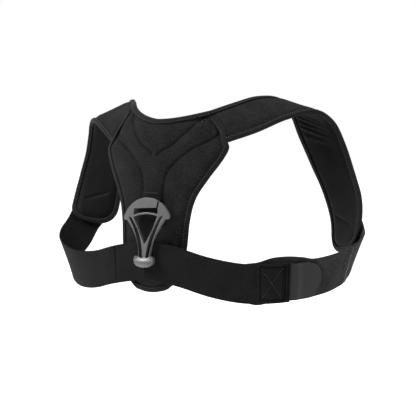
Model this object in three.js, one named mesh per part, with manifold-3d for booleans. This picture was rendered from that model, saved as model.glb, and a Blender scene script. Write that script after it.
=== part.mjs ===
// Posture corrector: a padded back shield with two padded shoulder straps, elastic belts and a moulded buckle.
// Millimetres, +Z up. The wearer faces +Y and +X is the wearer's right.
// The origin is on the shield's inner face, between the shoulder blades.
import * as THREE from "three";
import { mergeVertices } from "three/addons/utils/BufferGeometryUtils.js";
import Module from "manifold-3d";

const wasm = await Module();
wasm.setup();

// Overall form
const halfSpan = 200; // middle of a strap's front, out from the middle plane
const chestDepth = 128; // strap's front, ahead of the origin
const crestRise = 115; // middle of a strap at its crest, above the origin
const beltDrop = 92; // lowest stretch of the belts, below the origin
const backSag = 16; // how far the belts stand behind the origin at the middle

// Back pad
const padHalfWidth = 90;
const padRise = 116; // origin to the upper corners
const padDrop = 110; // origin to the hem
const padThickness = 8;
const padLean = 0.05; // forward for each mm up
const padTopCurl = 13; // forward bend of the upper edge
const padSideBow = 0.0028; // forward bend of the sides, for each mm across, squared
const padCornerBow = 0.0054; // extra bend of the upper corners
const grooveDepth = 1.8; // quilted lines of the Y

// Straps and their padding
const strapWidth = 68;
const strapThickness = 6.4;
const strapTipLength = 26; // rounded end
const seamGap = 2.9; // strap's start, off the pad's upper edge
const seamBulge = 5; // the pad's upper edge bulges into the strap's start
const seamReach = 30; // stretch of the strap that makes way for it
const puffWidth = 8; // from the bound edge to the full padding

// Bound edges
const edgeThickness = 3.6; // cloth and foam, pressed together in the binding
const bindingWidth = 5.5;
const bindingSkin = 0.9;
const foldRoom = 0.46; // more room on the faces, where a bound edge bends
const noseRoom = 0.35; // more room at its edge
const clearance = 0.3;

// Belts
const beltWidth = 48;
const beltThickness = 2;
const beltEase = 2.7; // slack of a belt over its strap's end
const beltLap = 36; // stretch of a belt sewn on its strap's end
const leftBeltSwing = 34; // degrees from the strap's run to the belt's
const rightBeltSwing = 44;
const tabLength = 53;
const tabCorner = 16;
const tabThickness = 1.6;
const tabLap = 14; // stretch of the tab sewn over the front belt's end

// Buckle
const buckleWidth = 68;
const buckleHeight = 70;
const bucklePlate = 4;
const buckleFoot = -66; // foot's height from the origin
const buckleShift = 2.2; // off the middle plane
const buckleTilt = 0.1; // forward for each mm up
const knobWidth = 32;
const knobHeight = 13;
const knobDepth = 6.5;
const barHeight = 10.5; // arch's top bar
const slotHeight = 7.5; // slot for the cloth loop
const slotWidth = 36;
const loopThickness = 1.4;
const loopSlack = 1.6; // between the loop's sides and the slot's ends

const material = (color, roughness, metalness = 0) =>
  new THREE.MeshStandardMaterial({ color, roughness, metalness });
const paddedCloth = material(0x1c1c1e, 0.92);
const bindingTape = material(0x161617, 0.85);
const elasticWeb = material(0x202022, 0.88);
const tabCloth = material(0x2a2a2c, 0.6);
const mouldedPlastic = material(0x77787a, 0.38);

// Rows of the straps. out, ahead and up are shares of halfSpan, chestDepth and crestRise.
// turn and slope give, in degrees, the way from the neck side to the arm side; width is a share of strapWidth.
const rightStrapRows = [
  { out: 0.485, ahead: 0.453, up: 0.91, turn: -21, slope: -43, width: 0.78 },
  { out: 0.595, ahead: 0.641, up: 1.01, turn: -15, slope: -28, width: 0.84 },
  { out: 0.705, ahead: 0.797, up: 1.035, turn: -11, slope: -15, width: 0.93 },
  { out: 0.775, ahead: 0.914, up: 0.91, turn: -8, slope: -10, width: 0.98 },
  { out: 0.825, ahead: 0.977, up: 0.67, turn: -7, slope: -7, width: 1 },
  { out: 0.895, ahead: 1.0, up: 0.36, turn: -12, slope: -6, width: 0.98 },
  { out: 0.965, ahead: 0.992, up: 0.07, turn: -20, slope: -4, width: 0.97 },
  { out: 1.005, ahead: 0.953, up: -0.22, turn: -31, slope: 1, width: 0.95 },
  { out: 1.01, ahead: 0.883, up: -0.52, turn: -38, slope: 9, width: 0.93 },
];
const leftStrapRows = [
  { out: 0.5, ahead: 0.45, up: 0.945, turn: -18, slope: -36, width: 0.86 },
  { out: 0.625, ahead: 0.633, up: 1.0, turn: -12, slope: -24, width: 0.95 },
  { out: 0.72, ahead: 0.79, up: 0.95, turn: -10, slope: -18, width: 1 },
  { out: 0.785, ahead: 0.906, up: 0.775, turn: -8, slope: -9, width: 1 },
  { out: 0.845, ahead: 0.977, up: 0.54, turn: -7, slope: -6, width: 1 },
  { out: 0.895, ahead: 1.0, up: 0.31, turn: -10, slope: -3, width: 0.98 },
  { out: 0.925, ahead: 0.992, up: 0.09, turn: -16, slope: 0, width: 0.97 },
  { out: 0.937, ahead: 0.953, up: -0.12, turn: -24, slope: 4, width: 0.95 },
  { out: 0.94, ahead: 0.883, up: -0.32, turn: -30, slope: 10, width: 0.93 },
];

// Rows of the belts, from the straps' ends to the middle of the back.
// up is a share of beltDrop, and turn and slope give the way to the upper edge.
const leftBeltRows = [
  { out: 1.01, ahead: 0.8, up: -0.54, turn: -18, slope: 46 },
  { out: 1.015, ahead: 0.66, up: -0.71, turn: -22, slope: 57 },
  { out: 0.965, ahead: 0.51, up: -0.83, turn: -30, slope: 66 },
  { out: 0.88, ahead: 0.37, up: -0.92, turn: -40, slope: 74 },
  { out: 0.76, ahead: 0.24, up: -0.98, turn: -50, slope: 80 },
  { out: 0.62, ahead: 0.12, up: -0.99, turn: -60, slope: 85 },
  { out: 0.46, ahead: 0.01, up: -0.955, turn: -70, slope: 89 },
  { out: 0.27, ahead: -0.085, up: -0.86, turn: -80, slope: 89 },
];
const rightBeltRows = [
  { out: 1.162, ahead: 0.75, up: -0.6, turn: -32, slope: 52 },
  { out: 1.15, ahead: 0.62, up: -0.73, turn: -36, slope: 63 },
  { out: 1.085, ahead: 0.5, up: -0.86, turn: -42, slope: 72 },
];
const frontBeltRows = [
  { out: 1.02, ahead: 0.425, up: -0.95, turn: -41, slope: 78 },
  { out: 0.95, ahead: 0.325, up: -0.98, turn: -43, slope: 80 },
  { out: 0.87, ahead: 0.225, up: -1.0, turn: -46, slope: 82 },
  { out: 0.75, ahead: 0.11, up: -1.02, turn: -54, slope: 85 },
  { out: 0.61, ahead: 0.02, up: -1.02, turn: -66, slope: 88 },
  { out: 0.42, ahead: -0.055, up: -0.955, turn: -76, slope: 89 },
  { out: 0.2, ahead: -0.12, up: -0.83, turn: -80, slope: 89 },
];
// The right belt's end lies inside the front belt: mm back from the tab's end, further in, higher and wider.
const rightLapRows = [
  { back: 8, further: 2.6, higher: 0, wider: 0 },
  { back: 24, further: 2, higher: 2.5, wider: 3 },
  { back: 42, further: 4.5, higher: 3.5, wider: 4 },
  { back: 60, further: 5.5, higher: 3, wider: 4 },
  { back: 78, further: 3, higher: -0.3, wider: 3 },
  { back: 92, further: 1.6, higher: -0.5, wider: 0 },
];

// Rows of the pad, hem first. Out is a share of padHalfWidth; up of padRise above the origin and of padDrop below.
// edge, outer and inner are the outline and the two quilted lines of each side; the cuts are shares of grooveDepth.
const padRows = [
  { edge: [0.35, -0.9], outer: [0.245, -0.965], inner: [0.11, -0.993], mid: -1, cuts: [0, 0] },
  { edge: [0.46, -0.76], outer: [0.27, -0.78], inner: [0.13, -0.79], mid: -0.79, cuts: [0, 0] },
  { edge: [0.52, -0.5], outer: [0.26, -0.5], inner: [0.11, -0.5], mid: -0.5, cuts: [0, 0] },
  { edge: [0.55, -0.2], outer: [0.2, -0.2], inner: [0.1, -0.2], mid: -0.2, cuts: [0.1, 0] },
  { edge: [0.62, 0.04], outer: [0.17, 0.03], inner: [0.09, 0.03], mid: 0.03, cuts: [0.8, 0] },
  { edge: [0.78, 0.256], outer: [0.195, 0.275], inner: [0.09, 0.32], mid: 0.33, cuts: [1, -0.9] },
  { edge: [0.9, 0.4], outer: [0.34, 0.436], inner: [0.05, 0.5], mid: 0.517, cuts: [1, 0.75] },
  { edge: [0.97, 0.5], outer: [0.56, 0.57], inner: [0.27, 0.616], mid: 0.664, cuts: [1, 1] },
  { edge: [1, 0.575], outer: [0.78, 0.66], inner: [0.5, 0.8], mid: 0.79, cuts: [1, 1] },
  { edge: [0.965, 0.64], outer: [0.875, 0.775], inner: [0.63, 0.96], mid: 0.875, cuts: [0.4, 0.4] },
];

// Steps of the pad's mesh: across in columns (0 middle, 1 inner line, 2 outer line, 3 edge), up in rows
const padColumnSteps = [0, 0.22, 0.44, 0.66, 0.86, 1, 1.15, 1.5, 1.88, 2, 2.12, 2.4, 2.7, 3];
const padRowSteps = [
  0, 0.3, 0.8, 1.3, 2, 2.6, 3.2, 3.7, 4.2, 4.7, 5.2, 5.6, 6, 6.4, 6.8, 7.2, 7.6, 8, 8.6, 9,
];

const vec = (x, y, z) => new THREE.Vector3(x, y, z);
const smooth = (t) => THREE.MathUtils.smoothstep(t, 0, 1);

// Value at t of a smooth curve through the numbers of a list, one for each whole t.
function throughValues(values, t) {
  const last = values.length - 1;
  const i = Math.min(Math.max(Math.floor(t), 0), last - 1);
  const before = i > 0 ? values[i - 1] : 2 * values[0] - values[1];
  const after = i < last - 1 ? values[i + 2] : 2 * values[last] - values[last - 1];
  const [a, b, f] = [values[i], values[i + 1], t - i];
  return (
    0.5 *
    (2 * a +
      (b - before) * f +
      (2 * before - 5 * a + 4 * b - after) * f * f +
      (3 * a - before - 3 * b + after) * f * f * f)
  );
}

// A closed box of steps bent by place(u, v, w), each from 0 to 1. Flip is for a place that mirrors.
function bentBox(uSteps, vSteps, wSteps, place, flip = false) {
  const box = new THREE.BoxGeometry(1, 1, 1, uSteps, vSteps, wSteps);
  box.deleteAttribute("normal");
  box.deleteAttribute("uv");
  const merged = mergeVertices(box, 1e-5);
  const p = merged.attributes.position;
  for (let i = 0; i < p.count; i++) {
    const q = place(p.getX(i) + 0.5, p.getY(i) + 0.5, p.getZ(i) + 0.5);
    p.setXYZ(i, q.x, q.y, q.z);
  }
  if (flip) {
    const index = merged.index.array;
    for (let i = 0; i < index.length; i += 3) {
      [index[i + 1], index[i + 2]] = [index[i + 2], index[i + 1]];
    }
  }
  merged.computeVertexNormals();
  return merged;
}

// Pad's surface

// Across and up of the pad at a row and a column, in mm.
function padSpot(row, column) {
  const side = Math.sign(column) || 1;
  const c = Math.abs(column);
  const read = (pick) => throughValues(padRows.map(pick), row);
  const names = ["inner", "outer", "edge"];
  const outs = [0, ...names.map((n) => read((r) => r[n][0]))];
  const ups = [read((r) => r.mid), ...names.map((n) => read((r) => r[n][1]))];
  // The neck panel and the side panels curve by themselves and meet at the inner line.
  const across = c <= 1 ? outs[1] * c : throughValues(outs.slice(1), c - 1);
  const up = c <= 1 ? ups[0] + (ups[1] - ups[0]) * c * c : throughValues(ups.slice(1), c - 1);
  return { a: side * across * padHalfWidth, b: up * (up >= 0 ? padRise : padDrop) };
}

// Middle layer's depth of the pad.
function padDepth(a, b) {
  const high = Math.max(0, b / padRise);
  const corner = Math.max(0, high - 0.54) / 0.45;
  const bow = padSideBow + padCornerBow * corner * corner;
  return -padThickness / 2 + padLean * b + padTopCurl * high * high + bow * a * a;
}

// A point of the pad, h mm out from its middle layer (plus is away from the wearer).
function padPoint(a, b, h) {
  const e = 0.5;
  const slopeA = (padDepth(a + e, b) - padDepth(a - e, b)) / (2 * e);
  const slopeB = (padDepth(a, b + e) - padDepth(a, b - e)) / (2 * e);
  const n = vec(slopeA, -1, slopeB).normalize();
  return vec(a, padDepth(a, b), b).addScaledVector(n, h);
}

// Mesh steps of the pad. The steps next to the outline stand at the inner edge of the binding.
const topRow = padRows.length - 1;
const padColumns = [...padColumnSteps.slice(1).reverse().map((c) => -c), ...padColumnSteps];
const rim = bindingWidth + clearance;
const seamSlant = 1.45; // the quilted lines reach the upper edge at a slant
const apart = (p, q) => Math.hypot(p.a - q.a, p.b - q.b);

function padMeshSpot(columnStep, rowStep) {
  let column = columnStep;
  let row = rowStep;
  if (Math.abs(columnStep) === padColumnSteps.at(-2)) {
    const side = Math.sign(columnStep);
    column = side * (3 - rim / apart(padSpot(row, side * 3), padSpot(row, side * 2)));
  }
  if (rowStep === padRowSteps[1]) {
    row = rim / apart(padSpot(0, column), padSpot(1, column));
  }
  if (rowStep === padRowSteps.at(-2)) {
    row = topRow - (seamSlant * rim) / apart(padSpot(topRow, column), padSpot(topRow - 1, column));
  }
  return padSpot(row, column);
}

// The pad's outline in across and up: one seam and side, the hem, the other side and seam.
const spotPoints = (spots) => spots.map(({ a, b }) => new THREE.Vector2(a, b));
const columnsFrom = (from, to) => padColumns.filter((c) => c >= from && c <= to);
const topPoints = (from, to) => spotPoints(columnsFrom(from, to).map((c) => padMeshSpot(c, topRow)));
const sidePoints = (side) => spotPoints(padRowSteps.map((r) => padMeshSpot(side * 3, r)));
const hemPoints = spotPoints(padColumns.map((c) => padMeshSpot(c, 0)));
const neckOutline = topPoints(-1, 1);
const outerOutline = (from) => [
  ...topPoints(from, 3),
  ...sidePoints(1).reverse().slice(1),
  ...[...hemPoints].reverse().slice(1),
  ...sidePoints(-1).slice(1),
  ...topPoints(-3, -from).slice(1),
];
const wholeOutline = [...outerOutline(1), ...neckOutline.slice(1)];
const cornerStep = 1.3; // the side binding stops short of the neck binding

// Distance of a point from a run of points.
function distanceTo(points, a, b) {
  let least = Infinity;
  for (let i = 1; i < points.length; i++) {
    const [p, q] = [points[i - 1], points[i]];
    const run = q.clone().sub(p);
    const t = THREE.MathUtils.clamp(
      ((a - p.x) * run.x + (b - p.y) * run.y) / Math.max(run.lengthSq(), 1e-9),
      0,
      1,
    );
    least = Math.min(least, Math.hypot(a - p.x - run.x * t, b - p.y - run.y * t));
  }
  return least;
}

// Half of a padded piece's thickness, a distance in from its outline.
function paddedHalf(thickness, distance) {
  const puff = smooth((distance - bindingWidth) / puffWidth);
  return (edgeThickness + (thickness - edgeThickness) * puff) / 2;
}

function backPad() {
  const across = padColumns.length - 1;
  const rows = padRowSteps.length - 1;
  const place = (u, v, w) => {
    const column = padColumns[Math.round(u * across)];
    const row = padRowSteps[Math.round(v * rows)];
    const { a, b } = padMeshSpot(column, row);
    const half = paddedHalf(padThickness, distanceTo(wholeOutline, a, b));
    const cut = (line, k) =>
      Math.abs(column) === line ? throughValues(padRows.map((r) => r.cuts[k]), row) : 0;
    const depth = grooveDepth * Math.max(0, cut(2, 0) + cut(1, 1));
    return padPoint(a, b, w > 0.5 ? half - depth : -half);
  };
  return bentBox(across, rows, 1, place);
}

// Bindings: a folded tape round an edge

// Section of the tape: distance in from the edge, and height from the middle layer.
function tapeSection(u, w) {
  const inside = edgeThickness / 2 + clearance + foldRoom;
  const outside = inside + bindingSkin;
  const level = [1, 1, 0, -1, -1][Math.round(u * 4)];
  const lip = u === 0 || u === 1;
  const nose = level === 0;
  const [tip, corner] = [-clearance - noseRoom, -clearance - noseRoom / 2];
  if (w < 0.5) {
    return { inset: lip ? bindingWidth : nose ? tip : corner, h: level * inside };
  }
  return {
    inset: lip ? bindingWidth : nose ? tip - bindingSkin : corner - bindingSkin / 2,
    h: level * outside,
  };
}

// A tape along the edge points, which run with the piece on their right-hand side.
function binding(points, surface, flip = false) {
  const inward = points.map((p, i) => {
    const from = points[Math.max(i - 1, 0)];
    const to = points[Math.min(i + 1, points.length - 1)];
    return new THREE.Vector2(to.y - from.y, from.x - to.x).normalize();
  });
  const last = points.length - 1;
  const place = (u, v, w) => {
    const i = Math.round(v * last);
    const { inset, h } = tapeSection(u, w);
    return surface(points[i].x + inward[i].x * inset, points[i].y + inward[i].y * inset, h);
  };
  return bentBox(4, last, 1, place, flip);
}

// Bands: straps and belts

const degrees = Math.PI / 180;

function direction(turn, slope) {
  const level = Math.cos(slope * degrees);
  return vec(
    Math.cos(turn * degrees) * level,
    Math.sin(turn * degrees) * level,
    Math.sin(slope * degrees),
  );
}

// Smooth path through rows of { middle, across, width }; at(s) is its frame s mm along.
function bandPath(rows) {
  const centre = new THREE.CatmullRomCurve3(rows.map((r) => r.middle), false, "catmullrom", 0.5);
  centre.arcLengthDivisions = 400;
  const length = centre.getLength();
  const at = (s) => {
    const inside = THREE.MathUtils.clamp(s, 0, length);
    const t = centre.getUtoTmapping(inside / length);
    const read = (pick) => throughValues(rows.map(pick), t * (rows.length - 1));
    const along = centre.getTangent(t);
    const across = vec(
      read((r) => r.across.x),
      read((r) => r.across.y),
      read((r) => r.across.z),
    ).normalize();
    const out = across.clone().cross(along).normalize();
    const middle = centre.getPoint(t).addScaledVector(along, s - inside);
    return { middle, along, across, out, width: read((r) => r.width) };
  };
  return { length, at };
}

// A point of a band: s along, t across, h out from its middle layer.
function bandPoint(path, s, t, h, side = 1) {
  const frame = path.at(s);
  const p = frame.middle
    .clone()
    .addScaledVector(frame.across, t)
    .addScaledVector(frame.out, h);
  return vec(side * p.x, p.y, p.z);
}

const fromRow = (r, height, width) => ({
  middle: vec(r.out * halfSpan, r.ahead * chestDepth, r.up * height),
  across: direction(r.turn, r.slope),
  width,
});

// A strap starts along the pad's upper seam.
function strapPath(rows) {
  const neckEnd = padSpot(topRow, 1);
  const armEnd = padSpot(topRow, 3);
  const [p, q] = [padPoint(neckEnd.a, neckEnd.b, 0), padPoint(armEnd.a, armEnd.b, 0)];
  const across = q.clone().sub(p);
  const seam = across.length();
  across.normalize();
  const next = fromRow(rows[0], crestRise, 1).middle;
  const middle = p.clone().add(q).multiplyScalar(0.5);
  middle.addScaledVector(next.sub(middle).normalize(), seamGap);
  const start = { middle, across, width: seam };
  return bandPath([start, ...rows.map((r) => fromRow(r, crestRise, r.width * strapWidth))]);
}

const rightPath = strapPath(rightStrapRows);
const leftPath = strapPath(leftStrapRows);

// Half of a strap's width s mm along, with a rounded end.
const tipSquareness = 2 / 2.6;
const tipAngle = 80 * degrees; // the end is cut flat past this
const tipStart = (path) => path.length - strapTipLength;

function strapEdge(path, q) {
  // q runs to 1 at the tip's start and to 2 at its end.
  if (q <= 1) {
    const s = tipStart(path) * q;
    return { s, half: path.at(s).width / 2 };
  }
  const angle = tipAngle * (q - 1);
  const s = tipStart(path) + strapTipLength * Math.sin(angle) ** tipSquareness;
  return { s, half: (path.at(s).width / 2) * Math.cos(angle) ** tipSquareness };
}

const strapRowCount = 25;
const tipRowCount = 6;
const edgeStep = (i) => (i <= strapRowCount ? i / strapRowCount : 1 + (i - strapRowCount) / tipRowCount);

function strapOutline(path) {
  const rows = strapRowCount + tipRowCount;
  const side = (sign) =>
    Array.from({ length: rows + 1 }, (_, i) => {
      const { s, half } = strapEdge(path, edgeStep(i));
      return new THREE.Vector2(s, sign * half);
    });
  return [...side(1), ...side(-1).reverse()];
}

function strap(path, side) {
  const outline = strapOutline(path);
  const rows = strapRowCount + tipRowCount;
  const acrossSteps = 8;
  const place = (u, v, w) => {
    const { s, half } = strapEdge(path, edgeStep(Math.round(v * rows)));
    const i = Math.round(u * acrossSteps) - acrossSteps / 2;
    const fromEdge = [Infinity, 0, 0, 0, 0];
    const rim = bindingWidth + puffWidth;
    fromEdge[4] = 0;
    fromEdge[3] = Math.min(bindingWidth, half * 0.3);
    fromEdge[2] = Math.min(rim, half * 0.6);
    fromEdge[1] = (fromEdge[2] + half) / 2;
    fromEdge[0] = half;
    const t = Math.sign(i) * (half - fromEdge[Math.abs(i)]);
    const h = paddedHalf(strapThickness, distanceTo(outline, s, t));
    const moved = seamBulge * (1 - (t / half) ** 4) * Math.max(0, 1 - s / seamReach);
    return bandPoint(path, s + moved, t, w > 0.5 ? h : -h, side);
  };
  return bentBox(acrossSteps, rows, 1, place, side < 0);
}

function strapBinding(path, side) {
  const surface = (s, t, h) => bandPoint(path, s, t, h, side);
  return binding(strapOutline(path), surface, side < 0);
}

// A belt starts on its strap's outer face, near the end, and swings towards the arm side.
const bindingFace = edgeThickness / 2 + clearance + foldRoom + bindingSkin;
const beltOff =
  Math.max(strapThickness / 2, bindingFace) + clearance + beltEase + beltThickness / 2;

function beltStart(path, swing) {
  const [c, n] = [Math.cos(swing * degrees), Math.sin(swing * degrees)];
  return [0, 0.5, 1].map((share) => {
    const run = beltLap * share;
    const frame = path.at(path.length - beltLap * 1.1 + run * c);
    const middle = frame.middle.clone();
    middle.addScaledVector(frame.across, run * n - beltLap * 0.3);
    middle.addScaledVector(frame.out, beltOff);
    const across = frame.across.clone().multiplyScalar(c).addScaledVector(frame.along, -n);
    return { middle, across, width: beltWidth };
  });
}

const beltRow = (r) => fromRow(r, beltDrop, beltWidth);
const layerStep = beltThickness + 2 * clearance;
const backMiddle = (layer, across = 0) => ({
  middle: vec(across, -backSag - layer * layerStep, buckleFoot - 4),
  across: direction(-80, 89),
  width: beltWidth,
});
const frontLayer = 1.3;
const beltCross = 14; // the left belt's end, past the middle under the front belt
const leftBeltPath = bandPath([
  ...beltStart(leftPath, leftBeltSwing),
  ...leftBeltRows.map(beltRow),
  backMiddle(0),
  backMiddle(-0.5, -beltCross),
]);
const frontBeltPath = bandPath([...frontBeltRows.map(beltRow), backMiddle(frontLayer, -4)]);

// The right belt's end lies under the tab and the front belt.
function rightLap({ back, further, higher, wider }) {
  const frame = frontBeltPath.at(back);
  const under = beltThickness + tabThickness + 2 * clearance + further;
  const middle = frame.middle.clone().addScaledVector(frame.out, -under);
  return { middle: middle.add(vec(0, 0, higher)), across: frame.across, width: beltWidth + wider };
}

const rightBeltPath = bandPath([
  ...beltStart(rightPath, rightBeltSwing),
  ...rightBeltRows.map(beltRow),
  ...rightLapRows.map(rightLap),
]);

// A flat band from s = from to s = to, lifted by h from the path's middle layer.
function belt(path, side, from, to, steps, half, thickness, lift = 0) {
  const place = (u, v, w) => {
    const s = from + (to - from) * v;
    return bandPoint(path, s, (2 * u - 1) * half(s), lift + (w - 0.5) * thickness, side);
  };
  return bentBox(2, steps, 1, place, side < 0);
}

const beltHalf = () => beltWidth / 2;

// The tab is sewn under the front belt's end.
function hookTab() {
  const lift = -(beltThickness / 2 + clearance + tabThickness / 2);
  const half = (s) => {
    const past = Math.max(0, tabCorner - s) / tabCorner;
    return (beltWidth / 2 - 1.5) * Math.sqrt(1 - 0.8 * past * past);
  };
  return belt(frontBeltPath, 1, 0, tabLength, 16, half, tabThickness, lift);
}

// Buckle, drawn from the front with its foot at 0, 0

function buckleOutline() {
  const ear = buckleWidth / 2;
  const earUp = buckleHeight * 0.66;
  const archCentre = buckleHeight - ear * 1.02;
  const foot = 8;
  const shape = new THREE.Shape();
  shape.moveTo(-foot * 0.6, 0);
  shape.lineTo(foot * 0.6, 0);
  shape.quadraticCurveTo(foot, 0, foot + 0.6, 4);
  shape.quadraticCurveTo(foot + 3.5, earUp * 0.55, ear - 3, earUp - 3);
  shape.quadraticCurveTo(ear + 0.5, earUp, ear - 0.8, earUp + 3);
  const start = Math.atan2(earUp + 3 - archCentre, ear - 0.8);
  const radius = Math.hypot(earUp + 3 - archCentre, ear - 0.8);
  shape.absarc(0, archCentre, radius, start, Math.PI - start, false);
  shape.quadraticCurveTo(-ear - 0.5, earUp, -ear + 3, earUp - 3);
  shape.quadraticCurveTo(-foot - 3.5, earUp * 0.55, -foot - 0.6, 4);
  shape.quadraticCurveTo(-foot, 0, -foot * 0.6, 0);
  return shape;
}

// Through openings: the slot for the cloth loop, the window between the arms and a slot along each arm.
function buckleOpenings() {
  const ear = buckleWidth / 2;
  const earUp = buckleHeight * 0.66;
  const slotTop = buckleHeight - barHeight;
  const slotLow = slotTop - slotHeight;
  const half = slotWidth / 2;
  const clothSlot = new THREE.Shape();
  clothSlot.moveTo(-half, slotLow - 1);
  clothSlot.quadraticCurveTo(0, slotLow + 3, half, slotLow - 1);
  clothSlot.lineTo(half - 1, slotTop - 1);
  clothSlot.quadraticCurveTo(0, slotTop + 1.5, -half + 1, slotTop - 1);

  const bar = 2.2;
  const window = new THREE.Shape();
  const top = slotLow - 1 - bar;
  window.moveTo(0, buckleHeight * 0.22);
  window.quadraticCurveTo(5.4, buckleHeight * 0.42, half - 1, top);
  window.quadraticCurveTo(0, top + 3.8, -half + 1, top);
  window.quadraticCurveTo(-5.4, buckleHeight * 0.42, 0, buckleHeight * 0.22);

  const armSlots = [-1, 1].map((side) => {
    const slot = new THREE.Shape();
    slot.moveTo(side * 4.3, 3);
    slot.quadraticCurveTo(side * 7.6, earUp * 0.62, side * (ear - 10), earUp + 1.5);
    slot.lineTo(side * (ear - 6.3), earUp - 0.5);
    slot.quadraticCurveTo(side * 10.9, earUp * 0.58, side * 7.4, 3);
    return slot;
  });
  return [clothSlot, window, ...armSlots];
}

function knobShape() {
  const half = knobWidth / 2;
  const shape = new THREE.Shape();
  shape.moveTo(-half, -knobHeight * 0.42);
  shape.quadraticCurveTo(-half, -1.5, -half * 0.72, -1.5);
  shape.quadraticCurveTo(0, -6.5, half * 0.72, -1.5);
  shape.quadraticCurveTo(half, -1.5, half, -knobHeight * 0.42);
  shape.quadraticCurveTo(half * 0.9, -knobHeight, 0, -knobHeight - 1);
  shape.quadraticCurveTo(-half * 0.9, -knobHeight, -half, -knobHeight * 0.42);
  return shape;
}

function solidOf(geometry) {
  geometry.deleteAttribute("normal");
  geometry.deleteAttribute("uv");
  const merged = mergeVertices(geometry, 1e-4);
  return new wasm.Manifold(
    new wasm.Mesh({
      numProp: 3,
      vertProperties: new Float32Array(merged.attributes.position.array),
      triVerts: new Uint32Array(merged.index.array),
    }),
  );
}

function geometryOf(solid) {
  const { vertProperties, triVerts } = solid.getMesh();
  const geometry = new THREE.BufferGeometry();
  geometry.setAttribute("position", new THREE.BufferAttribute(vertProperties, 3));
  geometry.setIndex(new THREE.BufferAttribute(triVerts, 1));
  geometry.computeVertexNormals();
  return geometry;
}

function buckleGeometry() {
  const bevel = 0.7;
  const rounded = (shape, depth, curveSegments) =>
    solidOf(
      new THREE.ExtrudeGeometry(shape, {
        depth: depth - 2 * bevel,
        curveSegments,
        bevelThickness: bevel,
        bevelSize: bevel,
        bevelOffset: -bevel,
        bevelSegments: 1,
      }).translate(0, 0, bevel),
    );
  const through = (shape) =>
    solidOf(
      new THREE.ExtrudeGeometry(shape, {
        depth: bucklePlate * 3,
        curveSegments: 8,
        bevelEnabled: false,
      }).translate(0, 0, -bucklePlate),
    );
  const neck = new THREE.BoxGeometry(7, 14, bucklePlate * 0.45).translate(
    0,
    -3,
    bucklePlate * 0.3,
  );
  const slit = new THREE.BoxGeometry(1.8, barHeight * 2, bucklePlate * 3)
    .rotateZ(-0.22)
    .translate(slotWidth / 2 - 4, buckleHeight - barHeight / 2, 0);
  let plate = rounded(buckleOutline(), bucklePlate, 9);
  for (const opening of buckleOpenings()) {
    plate = plate.subtract(through(opening));
  }
  plate = plate.subtract(solidOf(slit));
  return geometryOf(plate.add(rounded(knobShape(), knobDepth, 6)).add(solidOf(neck)));
}

// The cloth loop lies on the pad, comes forward in the buckle's slot and goes back to the pad.
function buckleLoop(slotUp) {
  const padFace = (b) => padPoint(0, b, padThickness / 2 + clearance + loopThickness / 2 + 0.6).y;
  const reach = slotHeight * 0.35;
  const spots = [
    [slotUp + 17, padFace(slotUp + 17)],
    [slotUp + 8, padFace(slotUp + 8) - 0.4],
    [slotUp + reach, padFace(slotUp) - 2],
    [slotUp, padFace(slotUp) - 3.6],
    [slotUp - reach, padFace(slotUp) - 2],
    [slotUp - 9, padFace(slotUp - 9)],
    [slotUp - 16, padFace(slotUp - 16)],
  ];
  const width = slotWidth - 2 * loopSlack;
  const rows = spots.map(([z, y]) => ({ middle: vec(0, y, z), across: vec(1, 0, 0), width }));
  const path = bandPath(rows);
  return belt(path, 1, 0, path.length, 18, () => width / 2 - 1, loopThickness);
}

// Assembly

const brace = new THREE.Group();

function piece(name, geometry, finish) {
  const mesh = new THREE.Mesh(geometry, finish);
  mesh.name = name;
  brace.add(mesh);
  return mesh;
}

piece("back_pad", backPad(), paddedCloth);
piece("pad_binding", binding(outerOutline(cornerStep), padPoint, true), bindingTape);
piece("neck_binding", binding(neckOutline, padPoint, true), bindingTape);
piece("shoulder_strap_right", strap(rightPath, 1), paddedCloth);
piece("shoulder_strap_left", strap(leftPath, -1), paddedCloth);
piece("strap_binding_right", strapBinding(rightPath, 1), bindingTape);
piece("strap_binding_left", strapBinding(leftPath, -1), bindingTape);
piece("belt_left", belt(leftBeltPath, -1, 0, leftBeltPath.length, 56, beltHalf, beltThickness), elasticWeb);
const rightHalf = (s) => rightBeltPath.at(s).width / 2;
piece("belt_right", belt(rightBeltPath, 1, 0, rightBeltPath.length, 40, rightHalf, beltThickness), elasticWeb);
const frontStart = tabLength - tabLap;
const frontEnd = frontBeltPath.length;
piece("belt_front", belt(frontBeltPath, 1, frontStart, frontEnd, 30, beltHalf, beltThickness), elasticWeb);
piece("hook_tab", hookTab(), tabCloth);

const beltFace = backMiddle(frontLayer).middle.y - beltThickness / 2;
const buckleBack = beltFace - clearance - buckleTilt * (beltWidth / 2 + 4);
const slotLine = buckleHeight - barHeight - slotHeight / 2;
const buckle = piece("buckle", buckleGeometry(), mouldedPlastic);
buckle.rotation.x = Math.PI / 2 - buckleTilt;
buckle.position.set(buckleShift, buckleBack, buckleFoot);
piece("buckle_loop", buckleLoop(buckleFoot + slotLine), elasticWeb);

export default brace;
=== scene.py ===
import math
import bpy
import bmesh
import numpy as np
from mathutils import Matrix, Vector, noise


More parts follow.
